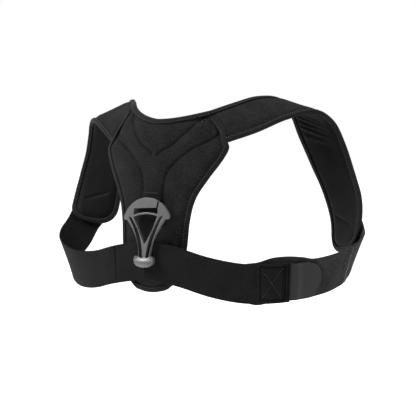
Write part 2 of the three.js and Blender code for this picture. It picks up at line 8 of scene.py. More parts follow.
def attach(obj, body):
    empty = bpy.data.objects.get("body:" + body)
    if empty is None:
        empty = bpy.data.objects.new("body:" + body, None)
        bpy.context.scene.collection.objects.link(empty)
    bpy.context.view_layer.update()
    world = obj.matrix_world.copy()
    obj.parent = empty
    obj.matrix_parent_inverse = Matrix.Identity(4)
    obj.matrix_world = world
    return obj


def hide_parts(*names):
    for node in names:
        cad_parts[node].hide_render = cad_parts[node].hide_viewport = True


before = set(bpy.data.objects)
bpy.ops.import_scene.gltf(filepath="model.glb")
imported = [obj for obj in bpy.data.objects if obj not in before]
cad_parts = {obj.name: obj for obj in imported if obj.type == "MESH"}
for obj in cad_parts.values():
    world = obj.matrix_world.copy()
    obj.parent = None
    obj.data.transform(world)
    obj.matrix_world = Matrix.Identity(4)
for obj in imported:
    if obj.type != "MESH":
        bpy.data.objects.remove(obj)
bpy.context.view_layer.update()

mm = 0.001

# Sizes in mm, laid out as in the solids. Seams, tab and knob follow the real ones closer than the solids do.
form = dict(halfSpan=200, chestDepth=128, crestRise=115, beltDrop=92, backSag=16)
padSize = dict(halfWidth=90, rise=116, drop=110, thickness=8, lean=0.05, topCurl=13,
               sideBow=0.0028, cornerBow=0.0054, cornerFrom=0.54, cornerSpan=0.45, groove=2.0)
strapSize = dict(width=68, thickness=6.4, tip=26, tipTurn=80, tipPower=2.6, bodyShare=0.86,
                 seamGap=2.9, seamStart=-3.6, seamBulge=3.6, seamReach=30, seamRise=6)
edgeSize = dict(thickness=3.6, width=5.5, skin=0.9, room=0.46, clearance=0.3)
beltSize = dict(width=48, thickness=2, ease=2.7, lap=36, leftSwing=34, rightSwing=44, cross=14, layer=1.3)
tabSize = dict(length=53, round=22, thickness=1.6, lap=14, narrower=1.5)
buckleSize = dict(width=68, height=70, plate=4, foot=-66, tilt=0.1, shift=2.2, bar=10.5, slot=7.5,
                  slotWidth=36, knobWidth=29, knobHeight=13.2, knobDepth=6.5)
loopSize = dict(thickness=1.4, slack=1.6, narrower=2, off=0.6)

# Rows of the straps: out, ahead, up, turn, slope, width
rightStrapRows = [
    (0.485, 0.453, 0.91, -21, -43, 0.78), (0.595, 0.641, 1.01, -15, -28, 0.84),
    (0.705, 0.797, 1.035, -11, -15, 0.93), (0.775, 0.914, 0.91, -8, -10, 0.98),
    (0.825, 0.977, 0.67, -7, -7, 1), (0.895, 1.0, 0.36, -12, -6, 0.98),
    (0.965, 0.992, 0.07, -20, -4, 0.97), (1.005, 0.953, -0.22, -31, 1, 0.95),
    (1.01, 0.883, -0.52, -38, 9, 0.93)]
leftStrapRows = [
    (0.5, 0.45, 0.945, -18, -36, 0.86), (0.625, 0.633, 1.0, -12, -24, 0.95),
    (0.72, 0.79, 0.95, -10, -18, 1), (0.785, 0.906, 0.775, -8, -9, 1),
    (0.845, 0.977, 0.54, -7, -6, 1), (0.895, 1.0, 0.31, -10, -3, 0.98),
    (0.925, 0.992, 0.09, -16, 0, 0.97), (0.937, 0.953, -0.12, -24, 4, 0.95),
    (0.94, 0.883, -0.32, -30, 10, 0.93)]

# Rows of the belts: out, ahead, up, turn, slope
leftBeltRows = [
    (1.01, 0.8, -0.54, -18, 46), (1.015, 0.66, -0.71, -22, 57), (0.965, 0.51, -0.83, -30, 66),
    (0.88, 0.37, -0.92, -40, 74), (0.76, 0.24, -0.98, -50, 80), (0.62, 0.12, -0.99, -60, 85),
    (0.46, 0.01, -0.955, -70, 89), (0.27, -0.085, -0.86, -80, 89)]
rightBeltRows = [
    (1.15, 0.75, -0.6, -32, 52), (1.15, 0.62, -0.73, -36, 63), (1.085, 0.5, -0.86, -42, 72)]
frontBeltRows = [
    (1.02, 0.425, -0.95, -41, 78), (0.95, 0.325, -0.98, -43, 80), (0.87, 0.225, -1.0, -46, 82),
    (0.75, 0.11, -1.02, -54, 85), (0.61, 0.02, -1.02, -66, 88), (0.42, -0.055, -0.955, -76, 89),
    (0.2, -0.12, -0.83, -80, 89)]
# Rows of the right belt behind the front one: back along it, further in, higher, wider
rightLapRows = [(8, 2.6, 0, 0), (24, 2, 1.8, 4.5), (42, 4.5, 2.4, 7), (60, 5.5, 2, 6.5), (78, 3, -1, 4),
                (92, 1.6, -0.5, 0)]

# Rows of the pad, hem first: edge, outer line, inner line (each across and up), middle, cuts
padRows = [
    (0.35, -0.9, 0.245, -0.965, 0.11, -0.993, -1, 0, 0),
    (0.46, -0.76, 0.27, -0.78, 0.13, -0.79, -0.79, 0, 0),
    (0.52, -0.5, 0.26, -0.5, 0.11, -0.5, -0.5, 0, 0),
    (0.55, -0.2, 0.2, -0.2, 0.1, -0.2, -0.2, 0.1, 0),
    (0.62, 0.04, 0.17, 0.03, 0.09, 0.03, 0.03, 0.8, 0),
    (0.78, 0.256, 0.195, 0.275, 0.09, 0.32, 0.33, 1, -0.9),
    (0.9, 0.4, 0.34, 0.436, 0.05, 0.5, 0.517, 1, 0.75),
    (0.97, 0.5, 0.56, 0.57, 0.27, 0.616, 0.664, 1, 1),
    (1, 0.575, 0.78, 0.66, 0.5, 0.8, 0.79, 1, 1),
    (0.965, 0.64, 0.875, 0.775, 0.63, 0.96, 0.875, 0.4, 0.4)]


# Curves

def cubic(before, a, b, after, f):
    return 0.5 * (2 * a + (b - before) * f + (2 * before - 5 * a + 4 * b - after) * f * f
                  + (3 * a - before - 3 * b + after) * f ** 3)


# Values at t of a smooth curve through the rows of a list, one row for each whole t
def through(values, t):
    values = np.asarray(values, float)
    t = np.atleast_1d(np.asarray(t, float))
    i = np.clip(np.floor(t).astype(int), 0, len(values) - 2)
    longer = np.concatenate([[2 * values[0] - values[1]], values, [2 * values[-1] - values[-2]]])
    f = t - i
    if values.ndim > 1:
        f = f[:, None]
    return cubic(longer[i], longer[i + 1], longer[i + 2], longer[i + 3], f)


def smooth(t):
    t = np.clip(t, 0, 1)
    return t * t * (3 - 2 * t)


# 1 on a line and fading to both sides of it
def ridge(distance, width):
    return np.exp(-(distance / width) ** 2)


# Grid places drawn towards both edges, more so with a larger share
def crowded(x, share):
    return (1 + share) * x - share * x ** 3


def unit(v):
    return v / np.linalg.norm(v, axis=-1, keepdims=True)


def direction(turn, slope):
    turn, slope = math.radians(turn), math.radians(slope)
    return [math.cos(turn) * math.cos(slope), math.sin(turn) * math.cos(slope), math.sin(slope)]


# Distances along a run of points, at each of them
def distances(points):
    return np.concatenate([[0], np.cumsum(np.linalg.norm(np.diff(points, axis=0), axis=1))])


# Path of a strap or belt, through rows of middle, across and width
class Band:
    def __init__(self, rows):
        self.middles = np.array([r[0] for r in rows], float)
        self.acrosses = np.array([r[1] for r in rows], float)
        self.widths = np.array([r[2] for r in rows], float)
        self.steps = np.linspace(0, len(rows) - 1, 401)
        points = through(self.middles, self.steps)
        self.runs = distances(points)
        self.length = self.runs[-1]

    def at(self, s):
        s = np.atleast_1d(np.asarray(s, float))
        inside = np.clip(s, 0, self.length)
        t = np.interp(inside, self.runs, self.steps)
        last = len(self.middles) - 1
        ahead = through(self.middles, np.clip(t + 1e-3, 0, last))
        along = unit(ahead - through(self.middles, np.clip(t - 1e-3, 0, last)))
        across = unit(through(self.acrosses, t))
        out = unit(np.cross(across, along))
        middle = through(self.middles, t) + along * (s - inside)[:, None]
        return middle, along, across, out, through(self.widths, t)

    def point(self, s, t, h, side=1):
        middle, _, across, out, _ = self.at(s)
        p = middle + across * np.reshape(t, (-1, 1)) + out * np.reshape(h, (-1, 1))
        p[:, 0] *= side
        return p


# Pad's surface

innerLine, outerLine, padEdge = 1, 2, 3  # its columns, from the middle column 0


def padSpot(row, column):
    row = np.atleast_1d(np.asarray(row, float))
    column = np.broadcast_to(np.asarray(column, float), row.shape)
    c = np.abs(column)
    edgeX, edgeZ, outerX, outerZ, innerX, innerZ, mid = through(padRows, row).T[:7]

    def past(inner, outer, edge):
        f = c - 1
        near = cubic(2 * inner - outer, inner, outer, edge, f)
        far = cubic(inner, outer, edge, 2 * edge - outer, f - 1)
        return np.where(f < 1, near, far)

    across = np.where(c <= 1, innerX * c, past(innerX, outerX, edgeX))
    up = np.where(c <= 1, mid + (innerZ - mid) * c * c, past(innerZ, outerZ, edgeZ))
    side = np.where(column < 0, -1, 1)
    return side * across * padSize["halfWidth"], up * np.where(up >= 0, padSize["rise"], padSize["drop"])


def padDepth(a, b):
    high = np.maximum(0, b / padSize["rise"])
    corner = np.maximum(0, high - padSize["cornerFrom"]) / padSize["cornerSpan"]
    bow = padSize["sideBow"] + padSize["cornerBow"] * corner ** 2
    return -padSize["thickness"] / 2 + padSize["lean"] * b + padSize["topCurl"] * high ** 2 + bow * a * a


# The pad's left top corner is drawn up by the strap
drawnCorner = dict(lift=9, start=3, span=54, most=1.15, power=1.1, low=76, fade=34)


def cornerLift(a, b):
    aside = np.clip((-a - drawnCorner["start"]) / drawnCorner["span"], 0, drawnCorner["most"])
    raised = smooth((b - drawnCorner["low"]) / drawnCorner["fade"])
    return drawnCorner["lift"] * aside ** drawnCorner["power"] * raised


# A place at height h over the pad's middle surface, worn side negative
def padPoint(a, b, h):
    a, b, h = (np.atleast_1d(np.asarray(x, float)) for x in (a, b, h))
    half = 0.5
    slopeA = padDepth(a + half, b) - padDepth(a - half, b)
    slopeB = padDepth(a, b + half) - padDepth(a, b - half)
    outward = unit(np.stack([slopeA, -np.ones_like(slopeA), slopeB], axis=1))
    return np.stack([a, padDepth(a, b), b + cornerLift(a, b)], axis=1) + outward * h[:, None]


# Distance to the nearest point of a run of points, and that point's place in it
def nearest(points, a, b):
    least = np.full(len(a), np.inf)
    place = np.zeros(len(a), int)
    batch = 4000
    for start in range(0, len(a), batch):
        part = slice(start, start + batch)
        d = np.hypot(a[part, None] - points[None, :, 0], b[part, None] - points[None, :, 1])
        place[part] = d.argmin(axis=1)
        least[part] = d.min(axis=1)
    return least, place


# A run of points again, at equal steps
def evenly(points, step):
    runs = distances(points)
    count = max(2, int(round(runs[-1] / step)))
    spots = np.linspace(0, runs[-1], count + 1)
    return np.stack([np.interp(spots, runs, points[:, k]) for k in range(points.shape[1])], axis=1)


def lumps(points, scale, seed):
    return np.array([noise.noise(Vector(p) * scale + Vector((seed, seed * 2, 7))) for p in points])


# Meshes

def linked(name, data):
    obj = bpy.data.objects.new(name, data)
    bpy.context.collection.objects.link(obj)
    return obj


def finished(name, mesh, materials):
    obj = linked(name, mesh)
    for material in materials:
        mesh.materials.append(material)
    mesh.polygons.foreach_set("use_smooth", [True] * len(mesh.polygons))
    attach(obj, "root")
    return obj


# A closed sheet of two faces, w = 0 and w = 1, bent by place(u, v, w); cloth gives its uv in metres
def closedSheet(name, uSteps, vSteps, place, cloth, materials):
    bm = bmesh.new()
    bmesh.ops.create_grid(bm, x_segments=uSteps, y_segments=vSteps, size=0.5)
    for item in bmesh.ops.extrude_face_region(bm, geom=bm.faces[:])["geom"]:
        if isinstance(item, bmesh.types.BMVert):
            item.co.z = 1
    flat = np.array([v.co[:] for v in bm.verts])
    span = np.abs(flat[:, :2]).max(axis=0) * 2
    u, v = flat[:, 0] / span[0] + 0.5, flat[:, 1] / span[1] + 0.5
    w = flat[:, 2]
    points = place(u, v, w) * mm
    weave = cloth(u, v)
    for vert, p in zip(bm.verts, points):
        vert.co = p
    bm.verts.index_update()
    uvLayer = bm.loops.layers.uv.new("cloth")
    for face in bm.faces:
        for loop in face.loops:
            loop[uvLayer].uv = weave[loop.vert.index]
        if len(materials) > 1 and sum(w[x.index] for x in face.verts) == 0:
            face.material_index = 1
    bmesh.ops.recalc_face_normals(bm, faces=bm.faces)
    mesh = bpy.data.meshes.new(name)
    bm.to_mesh(mesh)
    bm.free()
    return finished(name, mesh, materials)


def clothCoordinates(s, t):
    return np.stack([s, t], axis=1) * mm


# Materials

def nodeMaker(material):
    tree = material.node_tree

    def make(kind, inputs=None, **settings):
        node = tree.nodes.new("ShaderNode" + kind)
        for key, value in settings.items():
            setattr(node, key, value)
        for key, value in (inputs or {}).items():
            if isinstance(value, bpy.types.NodeSocket):
                tree.links.new(value, node.inputs[key])
            else:
                node.inputs[key].default_value = value
        return node

    return make


def newMaterial(name):
    material = bpy.data.materials.new(name)
    material.use_nodes = True
    shader = material.node_tree.nodes["Principled BSDF"]
    return material, shader, nodeMaker(material), material.node_tree.links.new


bandPeriod = 0.314  # of a band wave of scale 1
# Noises of the cloth: scale, detail, roughness
clothNoises = dict(nap=(1400.0, 4.0, 0.7), fleck=(520.0, 3.0, 0.75), blotch=(40.0, 4.0, 0.6))


# Cloth: tone is its mean shade, spread how far its flecks stray from it, pitch the weave's steps along
# and across in mm, relief the depth of its surface and fuzz the height of its nap
def clothMaterial(name, tone, spread, pitch, relief, fuzz, roughness, gloss=0.05):
    material, shader, make, link = newMaterial(name)
    uv = make("UVMap", uv_map="cloth").outputs["UV"]
    waves = []
    for axis, step in zip("XY", pitch):
        wave = make("TexWave", {"Vector": uv, "Scale": bandPeriod / (step * mm), "Distortion": 0.6,
                                "Detail": 1.0, "Detail Scale": 2.0},
                    wave_type="BANDS", bands_direction=axis)
        waves.append(wave.outputs["Fac"])
    weave = make("Math", {0: waves[0], 1: waves[1]}, operation="MULTIPLY").outputs[0]
    noises = {}
    for word, (scale, detail, coarse) in clothNoises.items():
        texture = make("TexNoise", {"Vector": uv, "Scale": scale, "Detail": detail, "Roughness": coarse})
        noises[word] = texture.outputs["Fac"]
    heights = make("Math", {0: noises["nap"], 1: fuzz, 2: weave}, operation="MULTIPLY_ADD").outputs[0]
    bump = make("Bump", {"Strength": relief, "Distance": 0.0005, "Height": heights})
    link(bump.outputs["Normal"], shader.inputs["Normal"])
    shade = make("Math", {0: noises["blotch"], 1: 0.35, 2: noises["fleck"]}, operation="MULTIPLY_ADD")
    ramp = make("ValToRGB", {"Fac": shade.outputs[0]})
    ends = ramp.color_ramp.elements
    for end, position, share in ((ends[0], 0.5, 1 - spread), (ends[1], 0.86, 1 + spread)):
        end.position = position
        end.color = (tone * share, tone * share * 1.01, tone * share * 1.01, 1)
    link(ramp.outputs["Color"], shader.inputs["Base Color"])
    shader.inputs["Roughness"].default_value = roughness
    shader.inputs["Specular IOR Level"].default_value = gloss
    return material


paddedCloth = clothMaterial("padded_cloth", 0.0062, 0.85, (1.1, 0.8), 0.7, 1.4, 0.85)
liningCloth = clothMaterial("lining", 0.0012, 0.4, (1.5, 1.5), 0.3, 0.6, 0.6)
bindingTape = clothMaterial("binding_tape", 0.0038, 0.5, (0.7, 1.0), 0.4, 0.7, 0.6)
elasticWeb = clothMaterial("elastic_web", 0.0031, 0.75, (0.9, 1.3), 0.5, 0.6, 0.8)
brushedWeb = clothMaterial("brushed_web", 0.0135, 0.7, (0.9, 1.3), 0.5, 1.4, 0.85)
tabCloth = clothMaterial("tab_cloth", 0.0034, 0.08, (0.5, 0.5), 0.05, 0.3, 0.35, gloss=0.14)
thread = clothMaterial("thread", 0.02, 0.4, (0.4, 0.4), 0.2, 0.3, 0.5, gloss=0.1)
paleThread = clothMaterial("pale_thread", 0.075, 0.3, (0.4, 0.4), 0.2, 0.3, 0.5, gloss=0.2)
# Near-black thread laid in furrows, folds and dents: partly the seams' own thread, and its darkness is
# painted shade of those furrows
threadPaintedShade = clothMaterial("thread_painted_shade", 0.0008, 0.4, (0.4, 0.4), 0.2, 0.3, 0.8, gloss=0.02)


def plasticMaterial():
    material, shader, make, link = newMaterial("moulded_plastic")
    place = make("TexCoord").outputs["Object"]
    grain = make("TexNoise", {"Vector": place, "Scale": 2600.0, "Detail": 3.0}).outputs["Fac"]
    cloud = make("TexNoise", {"Vector": place, "Scale": 60.0, "Detail": 4.0}).outputs["Fac"]
    ramp = make("ValToRGB", {"Fac": cloud})
    ramp.color_ramp.elements[0].color = (0.027, 0.0272, 0.0278, 1)
    ramp.color_ramp.elements[1].color = (0.034, 0.0342, 0.035, 1)
    link(ramp.outputs["Color"], shader.inputs["Base Color"])
    bump = make("Bump", {"Strength": 0.12, "Distance": 0.0002, "Height": grain})
    link(bump.outputs["Normal"], shader.inputs["Normal"])
    rough = make("MapRange", {"Value": cloud, "To Min": 0.38, "To Max": 0.48})
    link(rough.outputs["Result"], shader.inputs["Roughness"])
    return material


mouldedPlastic = plasticMaterial()
print("materials made")


# Paths

def fromRow(row, height, width):
    out, ahead, up, turn, slope = row[:5]
    middle = [out * form["halfSpan"], ahead * form["chestDepth"], up * height]
    return middle, direction(turn, slope), width


topRow = len(padRows) - 1


def strapPath(rows, side):
    a, b = padSpot([topRow, topRow], [side * innerLine, side * padEdge])
    p, q = padPoint(a, b, [0, 0]) * [side, 1, 1]
    seam = np.linalg.norm(q - p)
    middle = (p + q) / 2
    ahead = np.array(fromRow(rows[0], form["crestRise"], 1)[0])
    middle = middle + unit(ahead - middle) * strapSize["seamGap"]
    start = (middle, (q - p) / seam, seam)
    return Band([start] + [fromRow(r, form["crestRise"], r[5] * strapSize["width"]) for r in rows])


rightPath = strapPath(rightStrapRows, 1)
leftPath = strapPath(leftStrapRows, -1)

bindingFace = edgeSize["thickness"] / 2 + edgeSize["clearance"] + edgeSize["room"] + edgeSize["skin"]
beltOff = (max(strapSize["thickness"] / 2, bindingFace) + edgeSize["clearance"] + beltSize["ease"]
           + beltSize["thickness"] / 2)


def beltStart(path, swing):
    c, n = math.cos(math.radians(swing)), math.sin(math.radians(swing))
    lap = beltSize["lap"]
    rows = []
    for share in (0, 0.5, 1):
        run = lap * share
        middle, along, across, out, _ = (x[0] for x in path.at(path.length - lap * 1.1 + run * c))
        middle = middle + across * (run * n - lap * 0.3) + out * beltOff
        rows.append((middle, across * c - along * n, beltSize["width"]))
    return rows


def beltRow(row):
    return fromRow(row, form["beltDrop"], beltSize["width"])


def backMiddle(layer, across=0):
    step = beltSize["thickness"] + 2 * edgeSize["clearance"]
    middle = [across, -form["backSag"] - layer * step, buckleSize["foot"] - 4]
    return middle, direction(-80, 89), beltSize["width"]


leftBeltPath = Band(beltStart(leftPath, beltSize["leftSwing"]) + [beltRow(r) for r in leftBeltRows]
                    + [backMiddle(0), backMiddle(-0.5, -beltSize["cross"])])
frontBeltPath = Band([beltRow(r) for r in frontBeltRows] + [backMiddle(beltSize["layer"], -4)])


def rightLap(row):
    back, further, higher, wider = row
    middle, _, across, out, _ = (x[0] for x in frontBeltPath.at(back))
    under = beltSize["thickness"] + tabSize["thickness"] + 2 * edgeSize["clearance"] + further
    return middle - out * under + np.array([0, 0, higher]), across, beltSize["width"] + wider


rightBeltPath = Band(beltStart(rightPath, beltSize["rightSwing"]) + [beltRow(r) for r in rightBeltRows]
                     + [rightLap(r) for r in rightLapRows])
print("paths made")


# Back pad

rimSteps = 260
padGrid = (150, 180)  # steps across and up
padSteps = np.linspace(0, topRow, rimSteps)
outerDepth, innerDepth = through(padRows, padSteps).T[7:9]


def padLine(column):
    return np.stack(padSpot(padSteps, np.full_like(padSteps, column)), axis=1)


def padTop(fromColumn, toColumn):
    columns = np.linspace(fromColumn, toColumn, 160)
    return np.stack(padSpot(np.full_like(columns, topRow), columns), axis=1)


padHem = np.stack(padSpot(np.zeros(rimSteps), np.linspace(-padEdge, padEdge, rimSteps)), axis=1)
neckEdge = padTop(-innerLine, innerLine)


def padRim(fromColumn):
    return np.concatenate([padTop(fromColumn, padEdge), padLine(padEdge)[::-1][1:], padHem[::-1][1:],
                           padLine(-padEdge)[1:], padTop(-padEdge, -fromColumn)[1:]])


wholeRim = evenly(np.concatenate([padRim(innerLine), neckEdge[1:]]), 1.0)
# Quilted lines: a sharp crease in a wide valley; the inner lines start at the row apex
quilting = dict(width=1.7, shoulder=8.5, sharp=0.95, wide=1.25, back=0.25, apex=5.8, apexFade=0.25,
                deep=0.3, pillow=0.9, pillowFrom=6, soft=0.5, softFrom=5, softScale=0.035, fade=12)
# Filling beside a binding: it starts under the binding's lip, with a furrow along the lip
filling = dict(lapped=0.5, rise=8.5, furrow=0.5, furrowOff=0.6, furrowWidth=1.1)


# Depth of the quilted lines at places of the pad
def quiltCuts(a, b):
    cut = np.zeros(len(a))
    for column, depth in ((outerLine, outerDepth), (innerLine, innerDepth)):
        for side in (-1, 1):
            d, i = nearest(padLine(side * column), a, b)
            sharp = ridge(d, quilting["width"])
            wide = ridge(d, quilting["shoulder"])
            share = np.clip(depth[i], 0, 1)
            if column == innerLine:
                share = share * smooth((padSteps[i] - quilting["apex"]) / quilting["apexFade"])
            cut = np.maximum(cut, share * (quilting["sharp"] * sharp + quilting["wide"] * wide))
    return cut * padSize["groove"]


def puffed(thickness, distance):
    past = distance - edgeSize["width"]
    puff = smooth((past + filling["lapped"]) / filling["rise"])
    furrow = filling["furrow"] * ridge(past - filling["furrowOff"], filling["furrowWidth"])
    return (edgeSize["thickness"] + (thickness - edgeSize["thickness"]) * puff) / 2 - furrow


def padFaces(a, b):
    distance, _ = nearest(wholeRim, a, b)
    half = puffed(padSize["thickness"], distance)
    cut = quiltCuts(a, b)
    soft = lumps(np.stack([a, b, a * 0], axis=1), quilting["softScale"], 3) * quilting["soft"]
    soft = soft * smooth((distance - quilting["softFrom"]) / quilting["fade"])
    pillow = quilting["pillow"] * smooth((distance - quilting["pillowFrom"]) / quilting["fade"])
    return half + pillow - cut + soft, -half + cut * quilting["back"] + soft


def padPlace(u, v, w):
    a, b = padSpot(v * topRow, (2 * u - 1) * padEdge)
    front, rear = padFaces(a, b)
    return padPoint(a, b, np.where(w > 0.5, front, rear))


def padCloth(u, v):
    return clothCoordinates(*padSpot(v * topRow, (2 * u - 1) * padEdge))


backPad = closedSheet("backPad", *padGrid, padPlace, padCloth, [paddedCloth, liningCloth])
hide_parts("back_pad")
print("pad made")


# Bound edges

stitchSize = dict(length=2.3, gap=1.3, radius=0.42, inset=1.4, dent=0.35, dentWidth=0.7, pucker=0.1)
# Section of a binding: a round nose past the edge, then two flat sides whose lips thin out
tapeShape = dict(bend=0.3, nose=1.6, past=0.2, seat=0.12, lipFrom=0.86, lipThinning=0.55, steps=22,
                 spread=15)
tapeInside = edgeSize["thickness"] / 2 + tapeShape["seat"]
seamInset = edgeSize["width"] - stitchSize["inset"]
seamHeight = tapeInside + edgeSize["skin"] * 0.92


# u runs round the edge, w from its inner to its outer skin
def tapeSection(u, w):
    bend, nose = tapeShape["bend"], tapeShape["nose"]
    side = np.sign(0.5 - u)
    q = np.abs(u - 0.5) * 2
    angle = np.clip(q / bend, 0, 1) * math.pi / 2
    straight = np.clip((q - bend) / (1 - bend), 0, 1)
    grow = w * edgeSize["skin"]
    lip = smooth((straight - tapeShape["lipFrom"]) / (1 - tapeShape["lipFrom"]))
    fold = 1 - tapeShape["lipThinning"] * lip
    inset = nose - (nose + tapeShape["past"] + grow) * np.cos(angle) + straight * (edgeSize["width"] - nose)
    h = side * (tapeInside + grow * fold) * np.sin(angle)
    return inset, h


# Directions into the piece along its outline, blended round the corners
def inwardOf(points, blend):
    run = np.gradient(points, axis=0)
    normal = unit(np.stack([run[:, 1], -run[:, 0]], axis=1))
    weights = ridge(np.arange(-blend, blend + 1), blend / 2)
    longer = np.concatenate([np.repeat(normal[:1], blend, 0), normal, np.repeat(normal[-1:], blend, 0)])
    return unit(sum(k * longer[i:i + len(normal)] for i, k in enumerate(weights)))


def bindingPiece(name, node, outline, surface):
    length = float(distances(outline)[-1])
    points = evenly(outline, 1.3)
    inward = inwardOf(points, 6)
    count = len(points) - 1
    runs = np.linspace(0, length, count + 1)

    def place(u, v, w):
        i = np.clip(np.round(v * count).astype(int), 0, count)
        inset, h = tapeSection(u, w)
        turns = runs[i] / (stitchSize["length"] + stitchSize["gap"])
        pucker = stitchSize["pucker"] * np.sin(turns * 2 * math.pi)
        row = stitchSize["dent"] * ridge(inset - seamInset, stitchSize["dentWidth"])
        h = h + np.sign(h) * (pucker - row) * w * smooth((inset - 2) / 2)
        return surface(points[i, 0] + inward[i, 0] * inset, points[i, 1] + inward[i, 1] * inset, h)

    def cloth(u, v):
        return clothCoordinates(v * length, u * tapeShape["spread"])

    obj = closedSheet(name, tapeShape["steps"], count, place, cloth, [bindingTape])
    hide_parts(node)
    return points, inward


# Stitches: a row of short round threads along each run of points
def stitches(name, runs, length=stitchSize["length"], gap=stitchSize["gap"], radius=stitchSize["radius"],
             material=thread):
    bm = bmesh.new()
    for points in runs:
        steps = distances(points)
        number = max(1, int(steps[-1] / (length + gap)))
        pitch = steps[-1] / number
        for k in range(number):
            ends = [np.array([np.interp(s, steps, points[:, j]) for j in range(3)])
                    for s in (k * pitch + gap / 2, (k + 1) * pitch - gap / 2)]
            along = Vector(ends[1] - ends[0])
            turn = along.to_track_quat("X", "Z").to_matrix().to_4x4()
            stretch = Matrix.Diagonal((along.length * mm / 2, radius * mm, radius * mm, 1))
            centre = Vector((ends[0] + ends[1]) / 2 * mm)
            bmesh.ops.create_icosphere(bm, subdivisions=2, radius=1,
                                       matrix=Matrix.Translation(centre) @ turn @ stretch)
    uvLayer = bm.loops.layers.uv.new("cloth")
    for face in bm.faces:
        for loop in face.loops:
            loop[uvLayer].uv = loop.vert.co.xz
    mesh = bpy.data.meshes.new(name)
    bm.to_mesh(mesh)
    bm.free()
    finished(name, mesh, [material])


# A run on a bound edge's face, a little in from its lip
def rimRun(points, inward, surface, inset, h):
    spots = points + inward * inset
    return surface(spots[:, 0], spots[:, 1], np.full(len(spots), h))


rims = []
boundEdges = [("padBinding", "pad_binding", padRim(1.3)), ("neckBinding", "neck_binding", neckEdge)]
for name, node, outline in boundEdges:
    points, inward = bindingPiece(name, node, outline, padPoint)
    rims += [rimRun(points, inward, padPoint, seamInset, sign * seamHeight) for sign in (1, -1)]
stitches("padStitches", rims)


# Dark thread at the bottom of the quilted lines, where they are cut deep: a seam lies there, but its
# near-black, close-set stitches are painted shade of the crease
def quiltRuns():
    runs = []
    innerStart = quilting["apex"] + 0.12
    for column, depth, first in ((outerLine, outerDepth, 0), (innerLine, innerDepth, innerStart)):
        for side in (-1, 1):
            kept = padLine(side * column)[(depth > quilting["deep"]) & (padSteps > first)]
            front, _ = padFaces(kept[:, 0], kept[:, 1])
            runs.append(padPoint(kept[:, 0], kept[:, 1], front + 0.05))
    return runs


# Near-black stitches with small gaps: painted shade along the quilted creases
stitches("quiltStitchesPaintedShade", quiltRuns(), gap=0.5, radius=0.45, material=threadPaintedShade)
print("pad bindings made")


# Straps

# Outline of a strap: q runs to 1 along its side and on to 2 round its tip
def strapEdge(path, q):
    tipStart = path.length - strapSize["tip"]
    angle = math.radians(strapSize["tipTurn"]) * np.clip(q - 1, 0, 1)
    bend = 2 / strapSize["tipPower"]
    s = np.where(q <= 1, tipStart * q, tipStart + strapSize["tip"] * np.sin(angle) ** bend)
    width = path.at(s)[4]
    return s, width / 2 * np.cos(angle) ** bend


def strapOutline(path):
    q = np.concatenate([np.linspace(0, 1, 300), np.linspace(1, 2, 120)[1:]])
    s, half = strapEdge(path, q)
    s[0] = strapSize["seamStart"]
    side = np.stack([s, half], axis=1)
    other = np.stack([s, -half], axis=1)[::-1]
    return np.concatenate([side, other])


# Gathers on the inner face where the strap bends over the shoulder: place along, lean, depth, width
gathers = dict(
    right=[(0.44, 0.28, 1.3, 2.6), (0.465, 0.2, 1.1, 2.4), (0.49, 0.24, 1.4, 2.8), (0.52, 0.12, 0.9, 3.2),
           (0.42, 0.4, 0.8, 2.2)],
    left=[(0.43, 0.2, 0.7, 3.0), (0.47, 0.1, 0.8, 3.2), (0.52, 0.15, 0.5, 3.0)],
)
crease = dict(back=38, depth=1.6, width=2.0, reach=0.45, slant=0.3, blend=12)
strapGrid = (56, 250)  # steps across and along
strapSoft = dict(height=0.8, scale=0.03, foldFrom=3, foldFade=9)


def strapPiece(name, node, path, side, folds):
    outline = evenly(strapOutline(path), 1.2)
    split = strapSize["bodyShare"]

    def spots(u, v):
        q = np.where(v < split, v / split, 1 + (v - split) / (1 - split))
        s, half = strapEdge(path, q)
        s = np.where(v < 1e-6, strapSize["seamStart"], s)
        return s, half * crowded(2 * u - 1, 0.35), half

    def place(u, v, w):
        s, t, half = spots(u, v)
        distance, _ = nearest(outline, s, t)
        thick = puffed(strapSize["thickness"], distance)
        thick = thick * (0.5 + 0.5 * smooth((s - strapSize["seamStart"]) / strapSize["seamRise"]))
        inner = np.zeros(len(s))
        fade = smooth((distance - strapSoft["foldFrom"]) / strapSoft["foldFade"])
        for where, lean, depth, width in folds:
            centre = path.length * where + lean * t
            towards = smooth((half * 0.9 - t) / (half * 1.2))
            inner += depth * ridge(s - centre, width) * fade * towards
        line = path.length - crease["back"] + crease["slant"] * t
        part = smooth((crease["reach"] * half + crease["blend"] / 2 - np.abs(t)) / crease["blend"])
        inner -= crease["depth"] * ridge(s - line, crease["width"]) * fade * part
        places = np.stack([s, t, side * 30 + w * 20], axis=1)
        soft = lumps(places, strapSoft["scale"], 5) * strapSoft["height"] * fade
        h = np.where(w > 0.5, thick + soft, -thick - inner + soft)
        near = np.maximum(0, 1 - s / strapSize["seamReach"])
        s = s + strapSize["seamBulge"] * (1 - (t / half) ** 2) * near
        return path.point(s, t, h, side)

    def cloth(u, v):
        s, t, _ = spots(u, v)
        return clothCoordinates(s, t)

    obj = closedSheet(name, *strapGrid, place, cloth, [paddedCloth, liningCloth])
    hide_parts(node)


for word, path, side in (("Right", rightPath, 1), ("Left", leftPath, -1)):
    lower = word.lower()
    strapPiece("strap" + word, "shoulder_strap_" + lower, path, side, gathers[lower])
    outline = strapOutline(path)

    def strapSurface(s, t, h, path=path, side=side):
        return path.point(s, t, h, side)

    points, inward = bindingPiece("strapBinding" + word, "strap_binding_" + lower, outline, strapSurface)
    runs = [rimRun(points, inward, strapSurface, seamInset, sign * seamHeight) for sign in (1, -1)]
    stitches("strapStitches" + word, runs)
print("straps made")


# Belts

